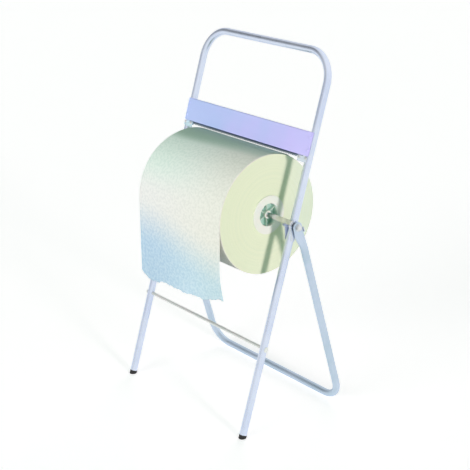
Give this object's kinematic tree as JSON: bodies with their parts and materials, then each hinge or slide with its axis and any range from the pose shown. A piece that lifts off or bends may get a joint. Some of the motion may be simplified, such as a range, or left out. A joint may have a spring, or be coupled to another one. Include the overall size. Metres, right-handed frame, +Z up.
{
  "type": "floor roll holder",
  "caption": "Folding floor stand of bent tube that holds a wide paper roll on a lift-out axle under a toothed tear bar.",
  "frame": {"origin": "on the floor, at the middle of the stand's footprint box", "axes": "+Z up, -Y towards the user and the hanging paper, +X to the right as seen from the user"},
  "size_m": [0.4984, 0.3142, 0.873],
  "materials": {
    "frame_tube": "satin chrome plate",
    "saddle_sheet": "satin chrome plate",
    "foot_caps": "matt moulded",
    "spacers": "matt moulded",
    "painted_plate": "smooth satin paint",
    "blade_steel": "bare strip, sheared teeth",
    "fasteners": "bright zinc",
    "axle": "bright drawn bar",
    "paper": "soft matt tissue",
    "core": "wound grey-brown board",
    "bushes": "moulded, slightly glossy"
  },
  "bodies": {
    "root": {"front_frame_tube": "frame_tube", "crossbar_rod": "frame_tube", "foot_cap_left": "foot_caps", "foot_cap_right": "foot_caps", "tear_plate": "painted_plate", "tear_blade": "blade_steel", "blade_bracket_left": "painted_plate", "blade_bracket_right": "painted_plate", "blade_nut_1": "fasteners", "blade_nut_2": "fasteners", "blade_nut_3": "fasteners", "blade_nut_4": "fasteners", "blade_nut_5": "fasteners", "plate_rivet_1": "fasteners", "plate_rivet_2": "fasteners", "plate_rivet_3": "fasteners", "plate_rivet_4": "fasteners", "bracket_rivet_1": "fasteners", "bracket_rivet_2": "fasteners", "bracket_rivet_3": "fasteners", "bracket_rivet_4": "fasteners", "axle_saddle_left": "saddle_sheet", "axle_saddle_right": "saddle_sheet", "pivot_bolt_left": "fasteners", "pivot_bolt_right": "fasteners", "pivot_spacer_left": "spacers", "pivot_spacer_right": "spacers", "pivot_washer_left": "fasteners", "pivot_washer_right": "fasteners", "pivot_nut_left": "fasteners", "pivot_nut_right": "fasteners"},
    "rear_frame": {"rear_frame_tube": "frame_tube"},
    "axle": {"axle_rod": "axle", "hanging_sheet": "paper"},
    "roll": {"paper_roll": "paper", "cardboard_core": "core"},
    "left_bush": {"core_bush_left": "bushes"},
    "right_bush": {"core_bush_right": "bushes"}
  },
  "joints": [
    {"name": "rear_frame_fold", "type": "hinge", "parent": "root", "child": "rear_frame", "pos_m": [0, 0.00077, 0.48797], "axis": [1, 0, 0], "range_deg": [-31.5, 0]},
    {"name": "axle_lift", "type": "slide", "parent": "root", "child": "axle", "axis": [0, -0.9212, 0.3891], "range_m": [0, 0.08]},
    {"name": "roll_spin", "type": "hinge", "parent": "axle", "child": "roll", "pos_m": [0, -0.01203, 0.49918], "axis": [1, 0, 0], "continuous": true},
    {"name": "left_bush_pull", "type": "slide", "parent": "roll", "child": "left_bush", "axis": [-1, 0, 0], "range_m": [0, 0.045]},
    {"name": "right_bush_pull", "type": "slide", "parent": "roll", "child": "right_bush", "axis": [1, 0, 0], "range_m": [0, 0.045]}
  ]
}
